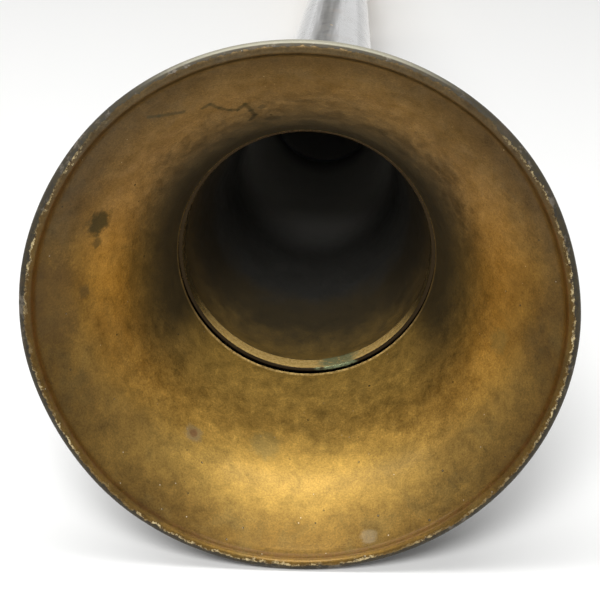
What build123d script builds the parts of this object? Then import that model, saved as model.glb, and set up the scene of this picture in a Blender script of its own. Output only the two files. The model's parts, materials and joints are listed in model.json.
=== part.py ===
from build123d import *
import math
import os

# An ear trumpet with a two-draw ear tube, drawn out and lying on a table on its rim and its ear tip.
# Lengths are in millimetres. Every piece is round, so each is drawn as an outline of points
# (radius, station) and revolved. A station is the distance along the horn's axis, back from the
# plane of the rim.

# Bell: a spun flare whose edge is rolled over a wire, with a neck that holds the throat ring
rim_radius = 60.0
bell_sheet = 0.6
rim_wire_radius = 0.9
roll_gap = 0.3
bell_depth = 40.8
throat_radius = 29.8
flare_arc_radius = 84.0
neck_step = 0.6

# Throat ring, turned: a groove's width behind the lip, a band that narrows, and a seat for the horn
throat_groove = 1.3
band_length = 4.7
band_radius = 28.7
band_taper = 0.3
horn_seat_length = 5.2

# Neck band: a half-round moulding over the end of the bell's neck
neck_band_length = 7.0
neck_band_wall = 1.2
neck_band_lip = 1.2

# Front horn, spun: seated in the throat ring, curved to a knee, then straight to a short tail
front_horn_sheet = 0.6
front_horn_mouth_radius = 28.9
front_horn_length = 128.2
front_horn_curve_length = 48.0
front_horn_knee_radius = 20.3
front_horn_tail_length = 15.0

# Rear horn: a straight taper, with one end soldered in the front horn's tail and a short tail itself
rear_horn_sheet = 0.5
rear_horn_front_radius = 14.4
rear_horn_tail_radius = 9.5
rear_horn_length = 173.0
rear_horn_tail_length = 14.0
horn_joint_length = 10.0

# Joint ferrule, over the joint between the two horns
joint_ferrule_length = 11.0
joint_ferrule_wall = 0.8

# Draws: two straight tubes, the first sliding in the rear horn's tail, the second in the first
draw_sheet = 0.5
first_draw_length = 83.6
second_draw_length = 80.8

# Bushes in the tails, sawn part of their length so that they spring on the draw
bush_wall = 0.95
bush_length = 12.0
bush_cut_length = 8.0
bush_cut_width = 0.6
running_clearance = 0.05

# Stop rings on the draws' front ends, each with a lip over the edge of the tube
ring_length = 6.0
ring_clearance = 0.3
stop_clearance = 0.1

# Collars outside the tails, each with a lip over the ends of tube and bush
collar_length = 10.0
collar_wall = 0.9
collar_edge_radius = 0.35
edge_lip = 1.2
ring_lip = 0.8
closing_clearance = 0.5

# Ferrule on the second draw's end, with a flange and the nipple that the ear tip screws on
tip_ferrule_length = 9.0
tip_ferrule_wall = 1.1
ferrule_flange_radius = 8.8
ferrule_flange_thickness = 2.2
nipple_radius = 3.9
nipple_length = 7.5
nipple_bore_radius = 2.9
washer_thickness = 1.0
washer_margin = 0.5

# Ear tip, turned from bone: a round-edged flange, a shoulder, a waist and an olive
tip_flange_radius = 9.6
tip_flange_thickness = 3.4
tip_flange_edge_radius = 1.6
tip_shoulder_radius = 7.0
tip_waist_radius = 4.7
tip_waist_length = 18.0
tip_olive_radius = 5.8
tip_olive_length = 16.6
tip_nose_radius = 3.6
tip_bore_radius = 2.5
nipple_clearance = 0.05
nipple_end_clearance = 0.8


bead_radius = rim_wire_radius + bell_sheet
bead_circle = rim_radius - bead_radius
neck_radius = throat_radius + neck_step
ring_front = bell_depth + throat_groove
front_horn_front = ring_front + band_length
ring_end = front_horn_front + horn_seat_length
front_horn_end = front_horn_front + front_horn_length
rear_horn_front = front_horn_end - horn_joint_length
rear_horn_end = rear_horn_front + rear_horn_length
rear_bore = rear_horn_tail_radius - rear_horn_sheet
first_radius = rear_bore - bush_wall
first_bore = first_radius - draw_sheet
second_radius = first_bore - bush_wall
first_front = rear_horn_end - bush_length - stop_clearance - ring_length
first_end = first_front + first_draw_length
second_front = first_end - bush_length - stop_clearance - ring_length
second_end = second_front + second_draw_length
rear_collar_end = rear_horn_end + edge_lip
first_collar_end = first_end + edge_lip
first_travel = first_collar_end - collar_length - rear_collar_end - closing_clearance
second_travel = second_end - tip_ferrule_length - first_collar_end - closing_clearance
ferrule_end = second_end + ferrule_flange_thickness
tip_front = ferrule_end + washer_thickness
tip_end = tip_front + tip_flange_thickness + tip_waist_length + tip_olive_length


def turned(*outline):
    """A piece revolved from a closed outline: corners joined by straight sides, or lines and curves."""
    if isinstance(outline[0], tuple):
        outline = [Polyline(*outline, close=True)]
    return revolve(make_face(outline), Axis.Y)


def spun(sheet, *path):
    """A shell whose inside follows a path, with its sheet on the side away from the axis."""
    inside = Wire([edge for line in path for edge in line.edges()])
    return revolve(make_face(offset(inside, sheet, side=Side.RIGHT)), Axis.Y)


def rounded(piece, edge_radius, *corners):
    """The piece with the round edges at these corners, given as (radius, station), rounded off."""
    near = 0.001
    edges = []
    for radius, station in corners:
        for edge in piece.edges().filter_by(GeomType.CIRCLE):
            if abs(edge.radius - radius) < near and abs(edge.arc_center.Y - station) < near:
                edges.append(edge)
    return fillet(edges, edge_radius)


def bell_flare():
    """Flare, neck and rolled rim in one sheet, with a slot where the roll's edge comes round."""
    rim = (rim_radius - 2 * bead_radius, 0)
    lip = (throat_radius, bell_depth)
    flare = RadiusArc(rim, lip, flare_arc_radius)
    neck = Polyline(lip, (neck_radius, bell_depth + neck_step), (neck_radius, ring_end))
    backward = flare % 0
    slot_angle = math.degrees(math.atan2(backward.Y, backward.X))
    roll = Circle(bead_radius) - Circle(rim_wire_radius)
    roll -= Rot(0, 0, slot_angle) * Pos(bead_radius, 0) * Rectangle(2 * bead_radius, roll_gap)
    return spun(bell_sheet, flare, neck) + revolve(Pos(bead_circle, 0) * roll, Axis.Y)


def rim_wire():
    return revolve(Pos(bead_circle, 0) * Circle(rim_wire_radius), Axis.Y)


def throat_ring():
    """The bright band inside the throat, with a seat behind it for the horn's front end."""
    seat_radius = front_horn_mouth_radius + front_horn_sheet
    return turned(
        (band_radius, ring_front),
        (neck_radius, ring_front),
        (neck_radius, ring_end),
        (seat_radius, ring_end),
        (seat_radius, front_horn_front),
        (band_radius - band_taper, front_horn_front),
    )


def neck_band():
    """A half-round moulding on the bell's neck, with a lip over the ends of neck and throat ring."""
    neck = neck_radius + bell_sheet
    horn = front_horn_mouth_radius + front_horn_sheet
    rear = ring_end + neck_band_lip
    front = rear - neck_band_length
    outside = ThreePointArc((neck, front), (neck + neck_band_wall, (front + rear) / 2), (neck, rear))
    inside = Polyline((neck, rear), (horn, rear), (horn, ring_end), (neck, ring_end), (neck, front))
    return turned(outside, inside)


def front_horn():
    """A short cylinder in its seat, an arc to the knee, a straight taper and a cylindrical tail."""
    seat = Line((front_horn_mouth_radius, front_horn_front), (front_horn_mouth_radius, ring_end))
    knee = (front_horn_knee_radius, ring_end + front_horn_curve_length)
    tail = (rear_horn_front_radius, front_horn_end - front_horn_tail_length)
    taper = Polyline(knee, tail, (rear_horn_front_radius, front_horn_end))
    curve = TangentArc(knee, seat @ 1, tangent=(knee[0] - tail[0], knee[1] - tail[1]))
    return spun(front_horn_sheet, seat, curve, taper)


def rear_horn():
    """A cylinder in the front horn's tail, a long straight taper and a cylindrical tail."""
    front_bore = rear_horn_front_radius - rear_horn_sheet
    tail_front = rear_horn_end - rear_horn_tail_length
    return turned(
        (rear_horn_front_radius, rear_horn_front),
        (rear_horn_front_radius, front_horn_end),
        (rear_horn_tail_radius, tail_front),
        (rear_horn_tail_radius, rear_horn_end),
        (rear_bore, rear_horn_end),
        (rear_bore, tail_front),
        (front_bore, front_horn_end),
        (front_bore, rear_horn_front),
    )


def collar(tube_radius, tube_end, bore, length, wall):
    """A band round the end of a tube, with a lip over its edge that leaves a bore open."""
    outside = tube_radius + wall
    rear = tube_end + edge_lip
    front = rear - length
    band = turned(
        (tube_radius, front),
        (outside, front),
        (outside, rear),
        (bore, rear),
        (bore, tube_end),
        (tube_radius, tube_end),
    )
    return rounded(band, collar_edge_radius, (outside, front), (outside, rear))


def joint_ferrule():
    """The plain band over the soldered joint, with a lip over the edge of the front horn."""
    front_horn_outside = rear_horn_front_radius + front_horn_sheet
    return collar(
        front_horn_outside, front_horn_end, rear_horn_front_radius, joint_ferrule_length, joint_ferrule_wall
    )


def sprung_bush(tube_end, tube_bore, draw_radius):
    """The bush in a tube's tail, bored for a draw, with two saw cuts across it from the front."""
    front = tube_end - bush_length
    bore = draw_radius + running_clearance
    bush = turned((bore, front), (tube_bore, front), (tube_bore, tube_end), (bore, tube_end))
    cut = Pos(0, front + bush_cut_length / 2) * Box(4 * tube_bore, bush_cut_length, bush_cut_width)
    return bush - cut - Rot(0, 90, 0) * cut


def draw_tube(front, length, radius):
    """A straight draw, open at both ends."""
    rear = front + length
    bore = radius - draw_sheet
    return turned((radius, front), (radius, rear), (bore, rear), (bore, front))


def stop_ring(tube_front, tube_radius, space_radius):
    """The ring on a draw's front end that stops on a bush, with a lip over the edge of the tube."""
    outside = space_radius - ring_clearance
    return turned(
        (tube_radius - draw_sheet, tube_front - ring_lip),
        (outside, tube_front - ring_lip),
        (outside, tube_front + ring_length),
        (tube_radius, tube_front + ring_length),
        (tube_radius, tube_front),
        (tube_radius - draw_sheet, tube_front),
    )


def tip_ferrule():
    """A sleeve on the second draw's end, a flange, and the nipple for the ear tip, bored through."""
    sleeve = second_radius + tip_ferrule_wall
    front = second_end - tip_ferrule_length
    nipple_end = ferrule_end + nipple_length
    ferrule = turned(
        (second_radius, front),
        (sleeve, front),
        (sleeve, second_end),
        (ferrule_flange_radius, second_end),
        (ferrule_flange_radius, ferrule_end),
        (nipple_radius, ferrule_end),
        (nipple_radius, nipple_end),
        (nipple_bore_radius, nipple_end),
        (nipple_bore_radius, second_end),
        (second_radius, second_end),
    )
    flange = [(ferrule_flange_radius, station) for station in (second_end, ferrule_end)]
    return rounded(ferrule, collar_edge_radius, (sleeve, front), (nipple_radius, nipple_end), *flange)


def tip_washer():
    """The leather washer between the ferrule's flange and the ear tip."""
    inside = nipple_radius + nipple_clearance
    outside = ferrule_flange_radius - washer_margin
    return turned((inside, ferrule_end), (outside, ferrule_end), (outside, tip_front), (inside, tip_front))


def ear_tip():
    """The ear tip, with a socket for the nipple and a bore that opens in the olive's nose."""
    socket = nipple_radius + nipple_clearance
    socket_end = ferrule_end + nipple_length + nipple_end_clearance
    flange_end = tip_front + tip_flange_thickness
    waist = (tip_waist_radius, flange_end + tip_waist_length)
    olive = (tip_olive_radius, waist[1] + tip_olive_length / 2)
    outside = Spline((tip_shoulder_radius, flange_end), waist, olive, (tip_nose_radius, tip_end))
    inside = Polyline(
        (tip_nose_radius, tip_end),
        (tip_bore_radius, tip_end),
        (tip_bore_radius, socket_end),
        (socket, socket_end),
        (socket, tip_front),
        (tip_flange_radius, tip_front),
        (tip_flange_radius, flange_end),
        (tip_shoulder_radius, flange_end),
    )
    flange = [(tip_flange_radius, station) for station in (tip_front, flange_end)]
    return rounded(turned(outside, inside), tip_flange_edge_radius, *flange)


def resting_tilt():
    """Degrees by which the axis falls towards the ear tip, when the rim bead and the round edge of
    the tip's flange lie on one flat surface."""
    edge = tip_flange_edge_radius
    along = tip_front + edge
    down = bead_circle - (tip_flange_radius - edge)
    return math.degrees(math.atan2(down, along) + math.asin((bead_radius - edge) / math.hypot(along, down)))


pieces = {
    "bell_flare": bell_flare(),
    "rim_wire": rim_wire(),
    "throat_ring": throat_ring(),
    "neck_band": neck_band(),
    "front_horn": front_horn(),
    "joint_ferrule": joint_ferrule(),
    "rear_horn": rear_horn(),
    "rear_bush": sprung_bush(rear_horn_end, rear_bore, first_radius),
    "rear_collar": collar(
        rear_horn_tail_radius, rear_horn_end, first_radius + running_clearance, collar_length, collar_wall
    ),
    "first_stop_ring": stop_ring(first_front, first_radius, rear_bore),
    "first_tube": draw_tube(first_front, first_draw_length, first_radius),
    "first_bush": sprung_bush(first_end, first_bore, second_radius),
    "first_collar": collar(
        first_radius, first_end, second_radius + running_clearance, collar_length, collar_wall
    ),
    "second_stop_ring": stop_ring(second_front, second_radius, first_bore),
    "second_tube": draw_tube(second_front, second_draw_length, second_radius),
    "tip_ferrule": tip_ferrule(),
    "tip_washer": tip_washer(),
    "ear_tip": ear_tip(),
}

# The axis falls backwards by the resting tilt, the rim's lowest point is at height 0, and the
# origin is under the middle of the whole length.
tilt = resting_tilt()
axis_height = bead_circle * math.cos(math.radians(tilt)) + bead_radius
lying = Pos(0, 0, axis_height) * Rot(-tilt, 0, 0)
ends = [(lying * pieces[node]).bounding_box() for node in ("bell_flare", "ear_tip")]
lying = Pos(0, -(ends[0].min.Y + ends[1].max.Y) / 2, 0) * lying

os.makedirs("parts", exist_ok=True)
for node, piece in pieces.items():
    export_step(lying * piece, f"parts/{node}.step")

print(f"The first draw slides {first_travel:.1f} mm and the second draw {second_travel:.1f} mm.")
print(f"The axis starts at Y {lying.position.Y:.3f}, Z {lying.position.Z:.3f} and falls {tilt:.4f} degrees.")
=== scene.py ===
import json
import math

import bpy
from mathutils import Matrix, Vector


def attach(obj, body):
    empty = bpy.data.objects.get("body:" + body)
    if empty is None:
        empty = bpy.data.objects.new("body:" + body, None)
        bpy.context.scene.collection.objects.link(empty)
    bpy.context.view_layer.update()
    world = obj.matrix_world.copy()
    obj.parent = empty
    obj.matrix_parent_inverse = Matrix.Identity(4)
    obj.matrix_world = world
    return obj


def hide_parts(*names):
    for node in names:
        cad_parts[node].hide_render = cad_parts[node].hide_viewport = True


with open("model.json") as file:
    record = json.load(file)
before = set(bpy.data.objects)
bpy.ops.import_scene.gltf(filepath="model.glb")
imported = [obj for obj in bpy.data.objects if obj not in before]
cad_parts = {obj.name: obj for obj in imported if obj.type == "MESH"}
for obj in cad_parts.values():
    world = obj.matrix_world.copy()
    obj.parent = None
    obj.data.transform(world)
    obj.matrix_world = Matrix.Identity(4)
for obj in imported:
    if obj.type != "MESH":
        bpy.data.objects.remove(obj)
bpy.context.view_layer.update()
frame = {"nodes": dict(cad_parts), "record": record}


# The trumpet lies drawn out on a white table, on its rim and its ear tip. Its axis starts in the
# middle of the rim and falls towards the ear, and a station is a distance along it in millimetres.
# It is lit by a soft lamp overhead and a weaker one in front, and looked at into the bell.
mm = 0.001
seat_station = 170.7
seat = next(mount for mount in frame["record"]["mounts"] if mount["name"] == "stand_ring_seat")
axis = Vector(seat["axis"])
rim_middle = Vector(seat["pos_m"]) - axis * (seat_station * mm)


def feed(tree, socket, value):
    """Put a number, a colour or another node's output in a socket."""
    if isinstance(value, bpy.types.NodeSocket):
        tree.links.new(value, socket)
    else:
        socket.default_value = value


def add(tree, kind, values=None, **settings):
    """A node with its settings, and what goes in each socket named or counted."""
    made = tree.nodes.new("ShaderNode" + kind)
    for setting, value in settings.items():
        setattr(made, setting, value)
    for socket, value in (values or {}).items():
        feed(tree, made.inputs[socket], value)
    return made


def maths(tree, operation, *values):
    """The result of one sum on numbers or masks."""
    return add(tree, "Math", dict(enumerate(values)), operation=operation).outputs[0]


def ramp(tree, value, low, high, start=0.0, end=1.0):
    """A smooth step from start to end, as the value goes from low to high."""
    made = add(tree, "MapRange", {"Value": value, "From Min": low, "From Max": high, "To Min": start,
                                  "To Max": end}, interpolation_type="SMOOTHSTEP")
    return made.outputs["Result"]


def finish(name):
    """A new material, its tree and its shader."""
    made = bpy.data.materials.new(name)
    made.use_nodes = True
    return made, made.node_tree, made.node_tree.nodes["Principled BSDF"]


bpy.ops.object.select_all(action="DESELECT")
bpy.ops.mesh.primitive_grid_add(x_subdivisions=8, y_subdivisions=8, size=6, location=(0, 0, 0))
table = bpy.context.object
table.name = table.data.name = "white_table"

# the table fades to plain white away from the trumpet, for the camera and in reflections, and keeps
# its shadow over a longer way along the trumpet than across it
shadow_reach = 0.16
white_from = 0.32
table_white, tree, shader = finish("white_table")
shader.inputs["Base Color"].default_value = (0.94, 0.94, 0.93, 1)
shader.inputs["Roughness"].default_value = 0.9
shrunk = add(tree, "Mapping", {"Vector": add(tree, "TexCoord").outputs["Object"], "Scale": (1.0, 0.55, 0.0)})
reach = add(tree, "VectorMath", {0: shrunk.outputs[0]}, operation="LENGTH").outputs["Value"]
rays = add(tree, "LightPath").outputs
seen = maths(tree, "MAXIMUM", rays["Is Camera Ray"], rays["Is Glossy Ray"])
faded = maths(tree, "MULTIPLY", ramp(tree, reach, shadow_reach, white_from), seen)
both = add(tree, "MixShader", {0: faded, 1: shader.outputs[0], 2: add(tree, "Emission").outputs[0]})
tree.links.new(both.outputs[0], tree.nodes["Material Output"].inputs["Surface"])
table.data.materials.append(table_white)

# the room is dim for the light that it gives, and white where it is seen
room_light = 0.24
room = bpy.data.worlds.new("white_room")
bpy.context.scene.world = room
room.use_nodes = True
tree = room.node_tree
rays = add(tree, "LightPath").outputs
seen = maths(tree, "MAXIMUM", rays["Is Camera Ray"], rays["Is Glossy Ray"])
seen = maths(tree, "MAXIMUM", seen, rays["Is Transmission Ray"])
background = tree.nodes["Background"]
background.inputs["Color"].default_value = (1, 1, 1, 1)
tree.links.new(ramp(tree, seen, 0.0, 1.0, room_light, 1.0), background.inputs["Strength"])


def soft_lamp(name, place, width, depth, watts):
    """A lamp as wide as that across the table, turned up or down to shine on the rim."""
    bpy.ops.object.light_add(type="AREA", location=place)
    lamp = bpy.context.object
    lamp.name = lamp.data.name = name
    lamp.rotation_euler = (math.atan2(rim_middle.y - place[1], place[2] - rim_middle.z), 0, 0)
    lamp.data.shape = "RECTANGLE"
    lamp.data.size = width
    lamp.data.size_y = depth
    lamp.data.energy = watts


soft_lamp("key_lamp", (-0.32, -0.26, 0.95), 1.60, 0.30, 8.0)
soft_lamp("front_lamp", (-0.04, -0.95, 0.78), 0.36, 0.36, 7.5)

camera_height = math.radians(26.42)
camera_turn = math.radians(-2.51)
camera_distance = 0.4775
looking = Vector((math.sin(camera_turn) * math.cos(camera_height),
                  math.cos(camera_turn) * math.cos(camera_height),
                  -math.sin(camera_height)))
bpy.ops.object.camera_add(location=rim_middle - looking * camera_distance)
camera = bpy.context.object
camera.name = "camera"
camera.rotation_euler = looking.to_track_quat("-Z", "Y").to_euler()
camera.data.lens = 134.35
camera.data.sensor_width = 36
camera.data.shift_x = 0.002
camera.data.shift_y = 0.0255
camera.data.clip_start = 0.01
bpy.context.scene.camera = camera
bpy.context.scene.view_settings.view_transform = "Standard"


# Bell: one brass sheet spun over a former, with its edge rolled over a wire and a neck left at the
# throat. It is lacquered gold inside and japanned black outside, up to the crest of the roll, where
# the black has flaked. The rim has been knocked a little out of round.
rim_radius = 60.0
bead_radius = 1.5
bell_sheet = 0.6
lip_radius = 29.8
lip_station = 40.8
neck_radius = 30.4
neck_end = 52.0
flare_radius = 84.0
flare_steps = 34
back_steps = 26
bead_angles = range(204, 480, 12)
bell_segments = 192
knock_spread = 22.0


def on_axis(station):
    """The place on the trumpet's axis at that station."""
    return rim_middle + axis * (station * mm)


def swept(middle, radius, start, end, steps):
    """Points (radius, station) round a middle, the shorter way from start to end."""
    first = math.atan2(start.y - middle.y, start.x - middle.x)
    turn = math.atan2(end.y - middle.y, end.x - middle.x) - first
    turn = (turn + math.pi) % (2 * math.pi) - math.pi
    angles = [first + turn * step / steps for step in range(steps + 1)]
    return [(middle.x + radius * math.cos(a), middle.y + radius * math.sin(a)) for a in angles]


def arc(start, end, radius, steps):
    """Points (radius, station) on an arc that bulges towards the axis."""
    start, end = Vector(start), Vector(end)
    chord = end - start
    away = Vector((chord.y, -chord.x)).normalized()
    if away.x < 0:
        away = -away
    middle = (start + end) / 2 + away * math.sqrt(radius ** 2 - (chord.length / 2) ** 2)
    return swept(middle, radius, start, end, steps)


def straight(start, end, steps):
    """Points (radius, station) on a straight line."""
    return [(start[0] + (end[0] - start[0]) * step / steps, start[1] + (end[1] - start[1]) * step / steps)
            for step in range(steps + 1)]


def turn_on_axis(name, rings, segments):
    """A shell drawn ring by ring along the axis, through (radius, station), and closed on itself."""
    bpy.ops.object.select_all(action="DESELECT")
    radius, station = rings[0]
    bpy.ops.mesh.primitive_circle_add(
        vertices=segments, radius=radius * mm, location=on_axis(station),
        rotation=axis.to_track_quat("Z", "Y").to_euler())
    piece = bpy.context.object
    piece.name = piece.data.name = name
    bpy.ops.object.transform_apply(location=True, rotation=True, scale=True)
    bpy.ops.object.mode_set(mode="EDIT")
    bpy.ops.mesh.select_all(action="SELECT")
    for (radius, station), (next_radius, next_station) in zip(rings, rings[1:] + rings[:1]):
        bpy.ops.mesh.extrude_edges_move(
            TRANSFORM_OT_translate={"value": axis * (next_station - station) * mm})
        bpy.ops.transform.resize(value=(next_radius / radius,) * 3, center_override=on_axis(next_station))
    bpy.ops.mesh.select_all(action="SELECT")
    bpy.ops.mesh.remove_doubles(threshold=0.01 * mm)
    bpy.ops.mesh.normals_make_consistent(inside=False)
    bpy.ops.object.mode_set(mode="OBJECT")
    bpy.ops.object.shade_smooth_by_angle(angle=math.radians(35))
    return piece


bead_middle = rim_radius - bead_radius
lip = [(lip_radius + 0.02, lip_station), (lip_radius - 0.16, lip_station - 0.12),
       (lip_radius - 0.14, lip_station - 0.42)]
crease = [(bead_middle - 2.13, 0.52), (bead_middle - 1.68, -0.06)]
flare = arc((lip_radius, lip_station), (bead_middle - bead_radius, 0.0), flare_radius, flare_steps)
flare = lip + flare[2:-1] + crease
flare_back = arc((bead_middle - bead_radius + bell_sheet, 0.45), (lip_radius + bell_sheet, lip_station),
                 flare_radius - bell_sheet, back_steps)
bead = [(bead_middle + bead_radius * math.cos(math.radians(a)), bead_radius * math.sin(math.radians(a)))
        for a in bead_angles]
neck = straight((neck_radius, lip_station + 0.6), (neck_radius, neck_end), 3)
neck_back = straight((neck_radius + bell_sheet, neck_end), (neck_radius + bell_sheet, lip_station + 0.9), 3)
bell = turn_on_axis("bell", flare + bead + flare_back[1:] + neck_back[::-1] + neck[::-1], bell_segments)

# knocks on the rim: where round it, in degrees, and how deep
for knock, depth in ((-118, 0.35), (-62, 0.20), (74, 0.30), (151, 0.22)):
    inwards = Vector((-math.sin(math.radians(knock)), 0, -math.cos(math.radians(knock))))
    struck = on_axis(0) - inwards * rim_radius * mm
    bpy.ops.object.mode_set(mode="EDIT")
    bpy.ops.mesh.select_all(action="DESELECT")
    bpy.ops.object.mode_set(mode="OBJECT")
    for vertex in bell.data.vertices:
        vertex.select = (vertex.co - struck).length < 2 * bead_radius * mm
    bpy.ops.object.mode_set(mode="EDIT")
    bpy.ops.transform.translate(value=inwards * depth * mm, use_proportional_edit=True,
                                proportional_edit_falloff="SMOOTH", proportional_size=knock_spread * mm)
    bpy.ops.object.mode_set(mode="OBJECT")
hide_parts("bell_flare")
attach(bell, "horn")


def mixed(tree, amount, first, second, blend="MIX"):
    """One colour over another; amount is a number or a mask."""
    made = add(tree, "Mix", {0: amount}, data_type="RGBA", blend_type=blend)
    for socket, colour in ((made.inputs[6], first), (made.inputs[7], second)):
        feed(tree, socket, (*colour, 1.0) if isinstance(colour, tuple) else colour)
    return made.outputs[2]


def blended(tree, amount, first, second):
    """One number over another; amount is a mask."""
    return add(tree, "Mix", {0: amount, 2: first, 3: second}).outputs[0]


def rest(tree, mask):
    """What a mask leaves out."""
    return maths(tree, "SUBTRACT", 1.0, mask)


def wandering(tree, value, clouds, width):
    """A value moved to and fro by the clouds, by half of that width at most."""
    return maths(tree, "MULTIPLY_ADD", maths(tree, "SUBTRACT", clouds, 0.5), width, value)


def noise(tree, place, scale, detail=4.0, roughness=0.6, distortion=0.0):
    """Clouds or grain over the surface, from 0 to 1."""
    made = add(tree, "TexNoise", {"Vector": place, "Scale": scale, "Detail": detail,
                                  "Roughness": roughness, "Distortion": distortion})
    return made.outputs["Fac"]


def effect(name, inputs, outputs):
    """An empty node group, its input node's outputs and its output node."""
    tree = bpy.data.node_groups.new(name, "ShaderNodeTree")
    for socket, kind in inputs.items():
        tree.interface.new_socket(socket, in_out="INPUT", socket_type="NodeSocket" + kind)
    for socket, kind in outputs.items():
        tree.interface.new_socket(socket, in_out="OUTPUT", socket_type="NodeSocket" + kind)
    return tree, tree.nodes.new("NodeGroupInput").outputs, tree.nodes.new("NodeGroupOutput")


def use(tree, name, **values):
    """The outputs of a node group placed in a material or in another group."""
    made = add(tree, "Group", node_tree=bpy.data.node_groups[name])
    for socket, value in values.items():
        feed(tree, made.inputs[socket], value)
    return made.outputs


# place on the horn, in millimetres: station, distance from the axis, how far a face looks outwards,
# and how far round it is from the top
fall = math.asin(-axis.z)
straightened = Matrix.Rotation(fall, 3, "X")
tree, given, result = effect("place_on_horn", {}, {
    "Place": "Vector", "Station": "Float", "Radius": "Float", "Outward": "Float", "Around": "Float"})
coordinates = add(tree, "TexCoord")
moved = add(tree, "Mapping", {"Vector": coordinates.outputs["Object"], "Rotation": (fall, 0, 0),
                              "Scale": (1 / mm, 1 / mm, 1 / mm),
                              "Location": straightened @ rim_middle / -mm})
turned = add(tree, "Mapping", {"Vector": coordinates.outputs["Normal"], "Rotation": (fall, 0, 0)},
             vector_type="VECTOR")
parts = add(tree, "SeparateXYZ", {0: moved.outputs[0]}).outputs
across = add(tree, "CombineXYZ", {"X": parts["X"], "Z": parts["Z"]}).outputs[0]
away = add(tree, "VectorMath", {0: across}, operation="NORMALIZE").outputs[0]
outward = add(tree, "VectorMath", {0: away, 1: turned.outputs[0]}, operation="DOT_PRODUCT")
radius = add(tree, "VectorMath", {0: across}, operation="LENGTH")
for socket, value in (("Place", moved.outputs[0]), ("Station", parts["Y"]),
                      ("Radius", radius.outputs["Value"]), ("Outward", outward.outputs["Value"]),
                      ("Around", maths(tree, "ARCTAN2", parts["X"], parts["Z"]))):
    tree.links.new(value, result.inputs[socket])

# where a coat has come off: a ragged line at distance 0, coat on the positive side
tree, given, result = effect("flaked_edge", {"Place": "Vector", "Distance": "Float", "Ragged": "Float"},
                             {"Coat": "Float"})
distance = wandering(tree, given["Distance"], noise(tree, given["Place"], 0.45, 5.0, 0.8), given["Ragged"])
tree.links.new(ramp(tree, distance, -0.04, 0.04), result.inputs["Coat"])

# a stain of that size round one place, with an uneven edge
tree, given, result = effect("stain", {"Place": "Vector", "Middle": "Vector", "Size": "Float"},
                             {"Mask": "Float"})
reach = add(tree, "VectorMath", {0: given["Place"], 1: given["Middle"]}, operation="DISTANCE")
uneven = maths(tree, "MULTIPLY_ADD", noise(tree, given["Place"], 0.7, 4.0, 0.65), 1.5, 0.25)
share = maths(tree, "DIVIDE", reach.outputs["Value"], maths(tree, "MULTIPLY", given["Size"], uneven))
tree.links.new(ramp(tree, share, 0.55, 1.15, 1.0, 0.0), result.inputs["Mask"])

# an old scratch from one place to another, uneven along its length
tree, given, result = effect("old_scratch", {"Place": "Vector", "Start": "Vector", "End": "Vector",
                                             "Width": "Float"}, {"Mask": "Float"})
run = add(tree, "VectorMath", {0: given["End"], 1: given["Start"]}, operation="SUBTRACT").outputs[0]
reach = add(tree, "VectorMath", {0: given["Place"], 1: given["Start"]}, operation="SUBTRACT").outputs[0]
along = add(tree, "VectorMath", {0: reach, 1: run}, operation="DOT_PRODUCT").outputs["Value"]
along = maths(tree, "DIVIDE", along,
              add(tree, "VectorMath", {0: run, 1: run}, operation="DOT_PRODUCT").outputs["Value"])
along = maths(tree, "MINIMUM", maths(tree, "MAXIMUM", along, 0.0), 1.0)
nearest = add(tree, "VectorMath", {0: run, "Scale": along}, operation="SCALE").outputs[0]
aside = add(tree, "VectorMath", {0: reach, 1: nearest}, operation="DISTANCE").outputs["Value"]
uneven = maths(tree, "MULTIPLY_ADD", noise(tree, given["Place"], 0.8, 4.0, 0.7), 2.2, -0.2)
share = maths(tree, "DIVIDE", aside, maths(tree, "MULTIPLY", given["Width"], uneven))
tree.links.new(ramp(tree, share, 0.3, 1.2, 1.0, 0.0), result.inputs["Mask"])

# old gold lacquer: cloudy, grained and pitted; dull brown near the rim and lighter deep in the bell, painted
# shade near the rim and painted light deeper in
tree, given, result = effect("gold_lacquer", {"Place": "Vector", "Station": "Float", "Around": "Float"}, {
    "Color": "Color", "Roughness": "Float", "Height": "Float"})
clouds = noise(tree, given["Place"], 0.045, 3.0, 0.6, 0.4)
mottle = noise(tree, given["Place"], 0.30, 4.0, 0.7, 0.3)
grain = noise(tree, given["Place"], 2.4, 2.0, 0.8)
deep = wandering(tree, given["Station"], clouds, 10.0)
colour = mixed(tree, ramp(tree, deep, -1.0, 21.0), (0.112, 0.062, 0.011), (0.53, 0.330, 0.074))
olive = ramp(tree, noise(tree, given["Place"], 0.11, 4.0, 0.65, 0.5), 0.48, 0.68, 0.0, 0.26)
colour = mixed(tree, olive, colour, (0.110, 0.084, 0.028))
uneven = maths(tree, "MULTIPLY", maths(tree, "MULTIPLY_ADD", mottle, 1.3, 0.35),
               maths(tree, "MULTIPLY_ADD", grain, 1.2, 0.40))
colour = mixed(tree, 1.0, colour, uneven, "MULTIPLY")
sideways = maths(tree, "POWER", maths(tree, "SINE", given["Around"]), 2.0)
# bluer and greyer towards the top: dust, and a painted reflection of the bright room, which the top shows at a
# grazing angle
dust_and_sheen_on_top = ramp(tree, maths(tree, "COSINE", given["Around"]), 0.0, 0.75)
colour = mixed(tree, dust_and_sheen_on_top, colour, mixed(tree, 1.0, colour, (0.84, 0.99, 2.2), "MULTIPLY"))
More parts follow.
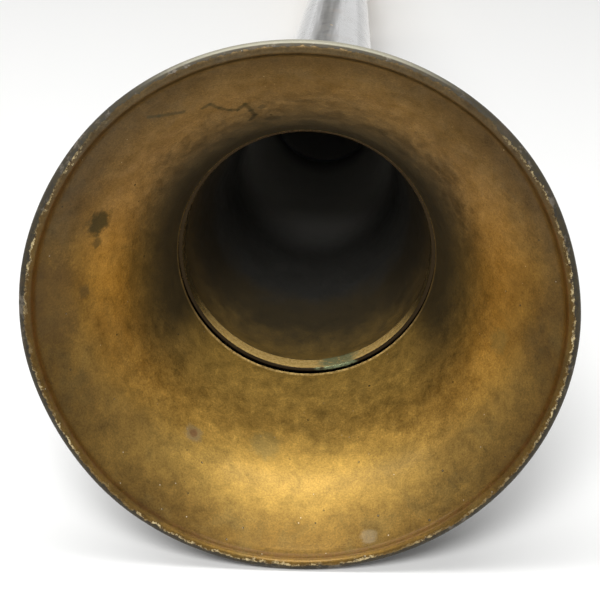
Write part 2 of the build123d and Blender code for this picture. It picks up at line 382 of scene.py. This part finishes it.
# painted shade: darker and less orange at the sides, in clouds
painted_side_shade = maths(tree, "MULTIPLY", sideways, ramp(tree, clouds, 0.35, 0.65, 0.50, 0.15))
colour = mixed(tree, painted_side_shade, colour, mixed(tree, 1.0, colour, (0.52, 0.51, 0.67), "MULTIPLY"))
pits = add(tree, "TexVoronoi", {"Vector": given["Place"], "Scale": 0.30}).outputs["Distance"]
specks = ramp(tree, pits, 0.030, 0.050, 1.0, 0.0)
pits = maths(tree, "MULTIPLY", ramp(tree, pits, 0.07, 0.12, 1.0, 0.0), ramp(tree, mottle, 0.54, 0.60))
colour = mixed(tree, maths(tree, "MULTIPLY", specks, 0.5), colour, (0.62, 0.58, 0.47))
colour = mixed(tree, maths(tree, "MULTIPLY", pits, 0.8), colour, (0.022, 0.020, 0.014))
tree.links.new(colour, result.inputs["Color"])
tree.links.new(ramp(tree, mottle, 0.3, 0.7, 0.36, 0.46), result.inputs["Roughness"])
tree.links.new(grain, result.inputs["Height"])

# black japan: baked varnish, brown where it is thin, with dust dulling it in patches
tree, given, result = effect("black_japan", {"Place": "Vector", "Around": "Float", "Settled": "Float"}, {
    "Color": "Color", "Roughness": "Float", "Height": "Float"})
dust = noise(tree, given["Place"], 0.13, 5.0, 0.72, 0.5)
skin = noise(tree, given["Place"], 0.8, 1.0, 0.5)
colour = mixed(tree, ramp(tree, dust, 0.52, 0.72, 0.0, 0.8), (0.012, 0.011, 0.010), (0.070, 0.040, 0.020))
colour = mixed(tree, ramp(tree, dust, 0.50, 0.30, 0.0, 0.40), colour, (0.070, 0.066, 0.058))
# paler grey towards the top, by the given amount, in patches
upwards = ramp(tree, maths(tree, "COSINE", given["Around"]), 0.0, 0.9)
upwards = maths(tree, "MULTIPLY", upwards, given["Settled"])
upwards = maths(tree, "MULTIPLY", upwards, ramp(tree, dust, 0.28, 0.56))
colour = mixed(tree, upwards, colour, (0.46, 0.45, 0.41))
tree.links.new(colour, result.inputs["Color"])
tree.links.new(ramp(tree, dust, 0.3, 0.75, 0.12, 0.34), result.inputs["Roughness"])
tree.links.new(maths(tree, "MULTIPLY", skin, 0.15), result.inputs["Height"])


def raised(tree, shader, height, distance):
    """Bumps of that height in millimetres on the shader's surface."""
    bump = add(tree, "Bump", {"Height": height, "Distance": distance * mm, "Strength": 1.0})
    tree.links.new(bump.outputs[0], shader.inputs["Normal"])


lacquered_bell, tree, shader = finish("lacquered_bell")
here = use(tree, "place_on_horn")
gold = use(tree, "gold_lacquer", Place=here["Place"], Station=here["Station"], Around=here["Around"])
black = use(tree, "black_japan", Place=here["Place"], Around=here["Around"], Settled=0.07)

# where the japan starts on the roll, and the bare brass along its flaked edge
from_crest = maths(tree, "MULTIPLY", here["Outward"], bead_radius)
topmost = ramp(tree, maths(tree, "COSINE", here["Around"]), 0.50, 0.92)
coat = use(tree, "flaked_edge", Place=here["Place"], Ragged=2.2,
           Distance=maths(tree, "ADD", from_crest, ramp(tree, topmost, 0.0, 1.0, -0.20, -0.45)))["Coat"]
bared = use(tree, "flaked_edge", Place=here["Place"], Ragged=3.4,
            Distance=maths(tree, "ADD", from_crest, 0.20))["Coat"]
bared = maths(tree, "MULTIPLY", bared, ramp(tree, here["Station"], 0.2, -0.4))
bared = maths(tree, "MULTIPLY", bared, ramp(tree, topmost, 0.0, 0.7, 1.0, 0.0))
tone = noise(tree, here["Place"], 1.1, 4.0, 0.75)
here_and_there = ramp(tree, noise(tree, here["Place"], 0.055, 3.0, 0.7), 0.40, 0.58, 0.15, 1.0)
bared = maths(tree, "MULTIPLY", bared, here_and_there)
bright = mixed(tree, ramp(tree, tone, 0.38, 0.60), (0.040, 0.022, 0.010), (0.60, 0.48, 0.26))

# the lip is worn bright, with painted shade on its upper part; painted shade lies over the throat's sides and
# top, and the groove behind the lip is painted dark for its shade
lip_worn = ramp(tree, here["Station"], lip_station - 1.00, lip_station - 0.70, 0.0, 0.95)
upper = ramp(tree, maths(tree, "COSINE", here["Around"]), -0.80, -0.35)
painted_throat_shade = ramp(tree, wandering(tree, here["Station"], tone, 8.0), 12.0, 35.0, 0.0, 0.92)
painted_throat_shade = maths(tree, "MULTIPLY", painted_throat_shade, upper)
colour = mixed(tree, painted_throat_shade, gold["Color"], (0.050, 0.040, 0.022))
lip_gold = mixed(tree, ramp(tree, tone, 0.36, 0.62), (0.30, 0.19, 0.060), (0.85, 0.60, 0.22))
lip_gold = mixed(tree, maths(tree, "MULTIPLY", upper, 0.8), lip_gold, (0.46, 0.31, 0.12))
colour = mixed(tree, bared, colour, bright)
colour = mixed(tree, lip_worn, colour, lip_gold)
groove = ramp(tree, here["Station"], lip_station, lip_station + 0.12)
colour = mixed(tree, groove, colour, (0.018, 0.013, 0.007))

# the japan on the roll is brownish and patched, and paler on its outer side at the top
rim_black = mixed(tree, ramp(tree, tone, 0.35, 0.65, 0.25, 0.95), black["Color"], (0.052, 0.040, 0.018))
rim_patches = ramp(tree, noise(tree, here["Place"], 0.16, 4.0, 0.8), 0.56, 0.66, 0.0, 0.55)
rim_black = mixed(tree, rim_patches, rim_black, (0.200, 0.170, 0.135))
roll_top = ramp(tree, maths(tree, "COSINE", here["Around"]), 0.80, 0.98)
pale = maths(tree, "MULTIPLY", roll_top, ramp(tree, from_crest, 0.90, 1.20, 0.0, 0.70))
rim_black = mixed(tree, pale, rim_black, (0.420, 0.400, 0.310))

# single stains: where, how wide, how strong and what colour
for place, size, strength, tint in (
    ((-43.6, 10.0, 16.7), 3.4, 0.85, (0.030, 0.034, 0.022)),
    ((-44.3, 11.0, 11.9), 1.5, 0.60, (0.050, 0.048, 0.030)),
    ((-47.1, 9.6, 1.2), 1.7, 0.45, (0.070, 0.066, 0.040)),
    ((-24.3, 15.6, -34.6), 2.3, 0.45, (0.230, 0.215, 0.160)),
    ((-24.3, 15.6, -34.6), 1.1, 0.60, (0.200, 0.075, 0.035)),
    # this one is painted shade, darkening the left side of the bell near the rim
    ((-53.0, 3.5, 1.0), 11.0, 0.45, (0.060, 0.033, 0.012)),
    ((43.5, 12.6, -9.6), 3.0, 0.30, (0.150, 0.160, 0.075)),
    ((-8.3, 19.4, -38.8), 4.0, 0.30, (0.190, 0.200, 0.100)),
    ((15.7, 1.6, -52.8), 2.0, 0.15, (0.300, 0.290, 0.230)),
    ((-8.7, 15.4, 41.5), 1.2, 0.45, (0.060, 0.062, 0.044)),
    ((-6.8, 22.4, 37.2), 2.0, 0.40, (0.060, 0.062, 0.044)),
):
    mark = use(tree, "stain", Place=here["Place"], Middle=place, Size=size)["Mask"]
    colour = mixed(tree, maths(tree, "MULTIPLY", mark, strength), colour, tint)

# one straight scratch and one crooked one, from place to place
for line in (
    ((-31.7, 3.8, 42.1), (-29.7, 5.0, 42.0), (-24.9, 7.4, 42.3)),
    ((-20.8, 9.0, 42.6), (-19.3, 8.7, 43.8), (-17.6, 11.1, 42.3), (-15.6, 13.1, 41.4), (-13.8, 14.2, 41.1),
     (-12.2, 12.6, 42.9), (-11.1, 15.7, 40.8), (-10.4, 18.5, 38.9), (-11.6, 20.5, 37.2)),
):
    for start, end in zip(line, line[1:]):
        mark = use(tree, "old_scratch", Place=here["Place"], Start=start, End=end, Width=0.75)["Mask"]
        colour = mixed(tree, maths(tree, "MULTIPLY", mark, 0.6), colour, (0.052, 0.055, 0.040))

# rust and painted shade in the crease beside the roll, and then the coat over all
crease_rust_and_shade = maths(tree, "ABSOLUTE", maths(tree, "SUBTRACT", here["Radius"], bead_middle - bead_radius))
crease_rust_and_shade = maths(tree, "MULTIPLY", ramp(tree, crease_rust_and_shade, 0.10, 0.55, 0.50, 0.0), ramp(tree, tone, 0.40, 0.60))
colour = mixed(tree, crease_rust_and_shade, colour, mixed(tree, topmost, (0.130, 0.058, 0.022), (0.030, 0.022, 0.012)))
outer = ramp(tree, here["Station"], 1.0, 1.6)
colour = mixed(tree, coat, colour, mixed(tree, outer, rim_black, black["Color"]))
tree.links.new(colour, shader.inputs["Base Color"])

# how metallic, how rough and how glossy each of them is
sheen = ramp(tree, here["Station"], 18.0, 34.0, 0.88, 0.55)
sheen = maths(tree, "MULTIPLY", sheen, rest(tree, lip_worn))
sheen = maths(tree, "MULTIPLY_ADD", maths(tree, "MULTIPLY", lip_worn, upper), 0.85, sheen)
sheen = maths(tree, "MAXIMUM", sheen, groove)
on_rim = maths(tree, "MULTIPLY", coat, rest(tree, outer))
sheen = maths(tree, "MULTIPLY", sheen, rest(tree, coat))
tree.links.new(maths(tree, "MULTIPLY_ADD", on_rim, 0.6, sheen), shader.inputs["Metallic"])
dulled = blended(tree, outer, 0.55, black["Roughness"])
rough = blended(tree, coat, gold["Roughness"], dulled)
rough = maths(tree, "MAXIMUM", rough, maths(tree, "MULTIPLY", groove, 0.9))
tree.links.new(rough, shader.inputs["Roughness"])
gloss = ramp(tree, maths(tree, "MAXIMUM", coat, groove), 0.0, 1.0, 0.08, 0.0)
tree.links.new(maths(tree, "MULTIPLY_ADD", maths(tree, "MULTIPLY", outer, coat), 0.6, gloss),
               shader.inputs["Coat Weight"])
shader.inputs["Coat Roughness"].default_value = 0.15
height = maths(tree, "MULTIPLY_ADD", gold["Height"], 0.7, coat)
raised(tree, shader, height, 0.05)
bell.data.materials.append(lacquered_bell)


# Rim wire: soft iron wire, cut to the rim's length, with the bell's edge beaten over it. It stiffens
# the rim, and nothing of it shows.
iron, tree, shader = finish("iron_wire")
here = use(tree, "place_on_horn")
rust = noise(tree, here["Place"], 0.9, 6.0, 0.7)
tree.links.new(mixed(tree, ramp(tree, rust, 0.4, 0.65), (0.20, 0.18, 0.17), (0.12, 0.045, 0.018)),
               shader.inputs["Base Color"])
tree.links.new(ramp(tree, rust, 0.35, 0.65, 0.9, 0.2), shader.inputs["Metallic"])
shader.inputs["Roughness"].default_value = 0.55
raised(tree, shader, rust, 0.03)


def dress(node, material):
    """The finish of a piece that keeps its own mesh."""
    slots = frame["nodes"][node].data.materials
    slots.clear()
    slots.append(material)


dress("rim_wire", iron)


# Throat ring: turned from brass and soldered in the bell's neck, with the horn let into its back.
# Its front stands out as a bright band behind the lip. Polish and damp have left verdigris in it.
band_front = 42.1
band_rear = 46.8
band_radius = 28.7
seat_radius = 29.5
ring_segments = 160
ring_outline = (
    [(neck_radius - 0.6, band_front), (band_radius + 0.35, band_front), (band_radius + 0.10, band_front + 0.12),
     (band_radius - 0.02, band_front + 0.40), (band_radius - 0.10, 43.6), (band_radius - 0.20, 45.2),
     (band_radius - 0.28, 46.3), (band_radius - 0.24, band_rear - 0.12), (band_radius - 0.05, band_rear)]
    + straight((seat_radius, band_rear), (seat_radius, neck_end), 2)
    + straight((neck_radius, neck_end), (neck_radius, band_front), 4)
)
throat_ring = turn_on_axis("throat_ring_turned", ring_outline, ring_segments)
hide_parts("throat_ring")
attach(throat_ring, "horn")

# bare brass: turned or drawn, dulled brown, with tarnish clouds and fine lines round the axis
tree, given, result = effect("dull_brass", {"Place": "Vector", "Station": "Float"}, {
    "Color": "Color", "Roughness": "Float", "Height": "Float"})
lines = maths(tree, "MULTIPLY", given["Station"], 6.0)
lines = add(tree, "TexNoise", {"W": lines, "Scale": 1.0, "Detail": 4.0, "Roughness": 0.7},
            noise_dimensions="1D").outputs["Fac"]
tarnish = noise(tree, given["Place"], 0.16, 4.0, 0.7, 0.4)
grain = noise(tree, given["Place"], 2.2, 2.0, 0.7)
colour = mixed(tree, ramp(tree, tarnish, 0.40, 0.75), (0.56, 0.395, 0.165), (0.40, 0.265, 0.105))
colour = mixed(tree, ramp(tree, tarnish, 0.62, 0.80, 0.0, 0.5), colour, (0.080, 0.062, 0.036))
colour = mixed(tree, ramp(tree, grain, 0.35, 0.65, 0.22, 0.0), colour, (0.12, 0.08, 0.035))
colour = mixed(tree, ramp(tree, lines, 0.35, 0.60, 0.3, 0.0), colour, (0.22, 0.14, 0.055))
tree.links.new(colour, result.inputs["Color"])
tree.links.new(ramp(tree, tarnish, 0.3, 0.75, 0.14, 0.34), result.inputs["Roughness"])
tree.links.new(maths(tree, "MULTIPLY_ADD", lines, 0.8, maths(tree, "MULTIPLY", grain, 0.3)),
               result.inputs["Height"])

throat_brass, tree, shader = finish("throat_brass")
here = use(tree, "place_on_horn")
bare = use(tree, "dull_brass", Place=here["Place"], Station=here["Station"])
tone = noise(tree, here["Place"], 1.6, 4.0, 0.75)
polished = mixed(tree, ramp(tree, tone, 0.38, 0.60), (0.70, 0.44, 0.12), (1.0, 0.72, 0.26))
colour = mixed(tree, 0.7, bare["Color"], polished)

# painted shade: the upper half is darker, and so are the ring's front and rear edges, where shade falls
half_dark = ramp(tree, maths(tree, "COSINE", here["Around"]), -0.85, -0.30, 0.0, 0.45)
colour = mixed(tree, half_dark, colour, (0.100, 0.070, 0.030))
groove = ramp(tree, here["Station"], band_front + 0.30, band_front + 0.10)
colour = mixed(tree, groove, colour, (0.030, 0.020, 0.010))
colour = mixed(tree, ramp(tree, here["Station"], band_rear - 0.7, band_rear - 0.3, 0.0, 0.85), colour,
               (0.030, 0.022, 0.012))

# verdigris at the bottom of the band
green = use(tree, "stain", Place=here["Place"], Middle=(7.5, 44.6, -27.6), Size=5.2)["Mask"]
patchy = ramp(tree, noise(tree, here["Place"], 1.1, 4.0, 0.7), 0.34, 0.46)
green = maths(tree, "MULTIPLY", green, patchy)
colour = mixed(tree, maths(tree, "MULTIPLY", green, 0.9), colour, (0.20, 0.23, 0.125))
tree.links.new(colour, shader.inputs["Base Color"])
brassy = maths(tree, "MULTIPLY", ramp(tree, half_dark, 0.0, 0.45, 0.10, 0.9),
               ramp(tree, green, 0.0, 1.0, 1.0, 0.0))
tree.links.new(maths(tree, "MAXIMUM", brassy, groove), shader.inputs["Metallic"])
tree.links.new(bare["Roughness"], shader.inputs["Roughness"])
raised(tree, shader, bare["Height"], 0.03)
throat_ring.data.materials.append(throat_brass)


# Front horn: spun in brass, let into the throat ring and soldered. Inside, the gold lacquer was run in
# from the bell and ends in a ragged edge, and the rest is blackened. Outside it is japanned.
horn_sheet = 0.6
mouth_radius = 28.9
knee = (20.3, 100.0)
front_tail_radius = 14.4
front_tail_station = 160.0
front_end = 175.0
curve_steps = 22
taper_steps = 14


def tangent_arc(start, end, leaving, steps):
    """Points (radius, station) on the arc that leaves start in that direction and reaches end."""
    start, end, leaving = Vector(start), Vector(end), Vector(leaving).normalized()
    side = Vector((-leaving.y, leaving.x))
    chord = end - start
    reach = chord.length_squared / (2 * chord.dot(side))
    return swept(start + side * reach, abs(reach), start, end, steps)


taper = (knee[0] - front_tail_radius, knee[1] - front_tail_station)
curve = tangent_arc(knee, (mouth_radius, neck_end), taper, curve_steps)[::-1]
horn_inside = (
    straight((mouth_radius, band_rear), (mouth_radius, neck_end), 3)[:-1]
    + curve[:-1]
    + straight(knee, (front_tail_radius, front_tail_station), taper_steps)
    + [(front_tail_radius, front_end)]
)
horn_outside = [(radius + horn_sheet, station) for radius, station in reversed(horn_inside)]
front_horn = turn_on_axis("front_horn_spun", horn_inside + horn_outside, ring_segments)
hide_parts("front_horn")
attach(front_horn, "horn")

lacquered_horn, tree, shader = finish("lacquered_horn")
here = use(tree, "place_on_horn")
gold = use(tree, "gold_lacquer", Place=here["Place"], Station=here["Station"], Around=here["Around"])
black = use(tree, "black_japan", Place=here["Place"], Around=here["Around"], Settled=0.12)

# the gold runs out in soot; painted shade darkens the gold deeper in and at the sides, and a painted grey haze
# of light lies over the soot further in, fading again near the rear horn's front
soft = noise(tree, here["Place"], 0.16, 4.0, 0.6)
run_in = wandering(tree, here["Station"], soft, 16.0)
soot = ramp(tree, run_in, 66.0, 80.0)
outside = ramp(tree, here["Outward"], -0.1, 0.1)
coat = maths(tree, "MAXIMUM", soot, outside)
greyer = maths(tree, "MULTIPLY", ramp(tree, here["Station"], 98.0, 132.0),
               ramp(tree, here["Station"], 152.0, 166.0, 1.0, 0.3))
deep = mixed(tree, greyer, (0.030, 0.029, 0.025), (0.36, 0.35, 0.32))
soot_and_painted_haze = mixed(tree, outside, deep, black["Color"])
shaded = mixed(tree, ramp(tree, run_in, 44.0, 64.0, 0.48, 0.95), gold["Color"], (0.050, 0.042, 0.027))
sides = ramp(tree, maths(tree, "ABSOLUTE", maths(tree, "SINE", here["Around"])), 0.60, 0.95, 0.0, 0.6)
shaded = mixed(tree, sides, shaded, (0.022, 0.018, 0.012))
tree.links.new(mixed(tree, coat, shaded, soot_and_painted_haze), shader.inputs["Base Color"])
tree.links.new(ramp(tree, coat, 0.0, 1.0, 0.30, 0.0), shader.inputs["Metallic"])
matt = maths(tree, "MULTIPLY_ADD", rest(tree, outside), 0.35, black["Roughness"])
tree.links.new(blended(tree, coat, gold["Roughness"], matt), shader.inputs["Roughness"])
tree.links.new(maths(tree, "MULTIPLY", outside, 0.7), shader.inputs["Coat Weight"])
shader.inputs["Coat Roughness"].default_value = 0.1
raised(tree, shader, gold["Height"], 0.03)
front_horn.data.materials.append(lacquered_horn)


# Rear horn: a sheet of brass rolled to a straight taper and brazed along its seam, with its wide end
# soldered in the front horn's tail. It is japanned outside and blackened inside, under a painted grey haze of
# light.
rear_front = 165.0
rear_tail_station = 324.2
rear_end = 338.2
rear_front_radius = 14.4
rear_tail_radius = 9.5
rear_sheet = 0.5
rear_steps = 30
rear_segments = 112
rear_outside = (
    straight((rear_front_radius, rear_front), (rear_front_radius, front_end), 2)[:-1]
    + straight((rear_front_radius, front_end), (rear_tail_radius, rear_tail_station), rear_steps)
    + [(rear_tail_radius, rear_end)]
)
rear_inside = [(radius - rear_sheet, station) for radius, station in reversed(rear_outside)]
rear_horn = turn_on_axis("rear_horn_rolled", rear_outside + rear_inside, rear_segments)
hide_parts("rear_horn")
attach(rear_horn, "horn")


def japanned(name, edges, wear, top_pale=0.08, seam=None):
    """Black japan over brass, chipped at these stations and rubbed here and there between them.
    A seam, at that angle from the top, is dull along its length."""
    made, tree, shader = finish(name)
    here = use(tree, "place_on_horn")
    black = use(tree, "black_japan", Place=here["Place"], Around=here["Around"], Settled=top_pale)
    bare = use(tree, "dull_brass", Place=here["Place"], Station=here["Station"])
    distance = None
    for edge in edges:
        from_edge = maths(tree, "ABSOLUTE", maths(tree, "SUBTRACT", here["Station"], edge))
        distance = from_edge if distance is None else maths(tree, "MINIMUM", distance, from_edge)
    chipped = maths(tree, "SUBTRACT", distance, 0.15)
    coat = use(tree, "flaked_edge", Place=here["Place"], Distance=chipped, Ragged=wear)["Coat"]
    rubbed = ramp(tree, noise(tree, here["Place"], 0.12, 4.0, 0.75, 0.6), 0.70, 0.73, 1.0, 0.0)
    coat = maths(tree, "MINIMUM", coat, rubbed)
    # inside, the colour is a painted grey haze of light, and the rear horn's front edge is painted near black
    # as shade
    front_edge = ramp(tree, here["Station"], rear_front + 0.4, rear_front + 0.1)
    inside = maths(tree, "MAXIMUM", ramp(tree, here["Outward"], -0.1, -0.5), front_edge)
    coat = maths(tree, "MAXIMUM", coat, inside)
    deep = mixed(tree, front_edge, (0.34, 0.33, 0.30), (0.006, 0.006, 0.005))
    soot_and_painted_haze = mixed(tree, inside, black["Color"], deep)
    tree.links.new(mixed(tree, coat, bare["Color"], soot_and_painted_haze), shader.inputs["Base Color"])
    tree.links.new(ramp(tree, coat, 0.0, 1.0, 1.0, 0.0), shader.inputs["Metallic"])
    rough = blended(tree, coat, bare["Roughness"], black["Roughness"])
    clean = 0.8
    if seam is not None:
        off_seam = maths(tree, "ABSOLUTE", maths(tree, "SUBTRACT", here["Around"], seam))
        streaks = add(tree, "Mapping", {"Vector": here["Place"], "Scale": (0.5, 0.012, 0.5)}).outputs[0]
        streaks = maths(tree, "MULTIPLY_ADD", noise(tree, streaks, 1.0, 2.0), 0.5, off_seam)
        clean = ramp(tree, streaks, 0.25, 0.70, 0.10, 1.0)
        rough = blended(tree, clean, 0.75, rough)
    shader.inputs["Coat Roughness"].default_value = 0.08
    tree.links.new(maths(tree, "MULTIPLY", rest(tree, inside), clean), shader.inputs["Coat Weight"])
    rough = maths(tree, "MAXIMUM", rough, maths(tree, "MULTIPLY", inside, 0.8))
    tree.links.new(rough, shader.inputs["Roughness"])
    raised(tree, shader, maths(tree, "ADD", black["Height"], coat), 0.03)
    return made


rear_horn.data.materials.append(japanned("japanned_taper", (rear_end,), 1.2, top_pale=0.22, seam=-0.12))


# Mouldings of the fixed horn: the half-round band over the neck's soldered end, the plain ferrule over
# the joint of the two horns, and the collar over the rear horn's tail. All are japanned brass.
dress("neck_band", japanned("japanned_neck_band", (46.2, 49.7, 53.2), 0.9))
dress("joint_ferrule", japanned("japanned_ferrule", (165.2, 176.2), 1.0))
dress("rear_collar", japanned("japanned_collar", (329.4, 339.4), 1.3))


# Draws: two drawn brass tubes with their stop rings, sprung bushes and collar soldered on. They were
# left bare so that they slide, and hands have dulled them.
def bare_brass(name, handled):
    """Bare brass, brightened in streaks along the axis by that much where hands and bushes rub."""
    made, tree, shader = finish(name)
    here = use(tree, "place_on_horn")
    bare = use(tree, "dull_brass", Place=here["Place"], Station=here["Station"])
    along = add(tree, "Mapping", {"Vector": here["Place"], "Scale": (2.2, 0.012, 2.2)}).outputs[0]
    slides = ramp(tree, noise(tree, along, 1.0, 5.0, 0.7), 0.52, 0.68)
    colour = mixed(tree, maths(tree, "MULTIPLY", slides, handled), bare["Color"], (0.66, 0.47, 0.19))
    tree.links.new(colour, shader.inputs["Base Color"])
    shader.inputs["Metallic"].default_value = 1.0
    tree.links.new(maths(tree, "MULTIPLY_ADD", slides, -0.08, bare["Roughness"]), shader.inputs["Roughness"])
    raised(tree, shader, bare["Height"], 0.02)
    return made


drawn_brass = bare_brass("drawn_brass", 0.45)
turned_brass = bare_brass("turned_brass", 0.15)
for node in ("first_tube", "second_tube"):
    dress(node, drawn_brass)
for node in ("first_collar", "first_bush", "tip_ferrule"):
    dress(node, turned_brass)

# the bush and the stop rings that can be seen up the horn are sooted
sooted, tree, shader = finish("sooted_brass")
here = use(tree, "place_on_horn")
black = use(tree, "black_japan", Place=here["Place"], Around=here["Around"], Settled=0.0)
tree.links.new(black["Color"], shader.inputs["Base Color"])
shader.inputs["Roughness"].default_value = 0.7
raised(tree, shader, black["Height"], 0.03)
for node in ("rear_bush", "first_stop_ring", "second_stop_ring"):
    dress(node, sooted)


# Washer: a ring cut from oiled leather. It is squeezed between the ferrule and the ear tip, and keeps
# that joint tight.
leather, tree, shader = finish("oiled_leather")
here = use(tree, "place_on_horn")
cells = add(tree, "TexVoronoi", {"Vector": here["Place"], "Scale": 2.4}).outputs["Distance"]
patches = noise(tree, here["Place"], 0.5, 5.0, 0.6)
colour = mixed(tree, ramp(tree, patches, 0.35, 0.65), (0.060, 0.028, 0.014), (0.120, 0.062, 0.030))
tree.links.new(mixed(tree, ramp(tree, cells, 0.1, 0.5, 0.5, 0.0), colour, (0.022, 0.011, 0.007)),
               shader.inputs["Base Color"])
tree.links.new(ramp(tree, patches, 0.3, 0.7, 0.45, 0.7), shader.inputs["Roughness"])
raised(tree, shader, cells, 0.08)
dress("tip_washer", leather)


# Ear tip: turned in bone on a lathe, polished, and screwed on the ferrule's nipple. The bone has
# yellowed, and fine dark pores run along its grain.
bone, tree, shader = finish("polished_bone")
here = use(tree, "place_on_horn")
along = add(tree, "Mapping", {"Vector": here["Place"], "Scale": (1.0, 0.10, 1.0)}).outputs[0]
pores = add(tree, "TexVoronoi", {"Vector": along, "Scale": 2.2}).outputs["Distance"]
pores = maths(tree, "MULTIPLY", ramp(tree, pores, 0.06, 0.16, 1.0, 0.0),
              ramp(tree, noise(tree, here["Place"], 0.25, 3.0), 0.48, 0.62))
grain = noise(tree, along, 0.9, 5.0, 0.65)
yellow = noise(tree, here["Place"], 0.09, 4.0, 0.6)
colour = mixed(tree, ramp(tree, yellow, 0.35, 0.68), (0.78, 0.68, 0.47), (0.64, 0.50, 0.27))
colour = mixed(tree, ramp(tree, grain, 0.35, 0.62, 0.4, 0.0), colour, (0.50, 0.38, 0.20))
colour = mixed(tree, maths(tree, "MULTIPLY", pores, 0.75), colour, (0.13, 0.075, 0.035))
turned_lines = add(tree, "TexNoise", {"W": here["Station"], "Scale": 5.0, "Detail": 3.0},
                   noise_dimensions="1D").outputs["Fac"]
tree.links.new(colour, shader.inputs["Base Color"])
tree.links.new(ramp(tree, yellow, 0.3, 0.7, 0.22, 0.36), shader.inputs["Roughness"])
shader.inputs["Subsurface Weight"].default_value = 0.15
shader.inputs["Subsurface Radius"].default_value = (1.0, 0.6, 0.3)
shader.inputs["Subsurface Scale"].default_value = 0.002
raised(tree, shader, maths(tree, "SUBTRACT", maths(tree, "MULTIPLY", turned_lines, 0.4), pores), 0.03)
dress("ear_tip", bone)
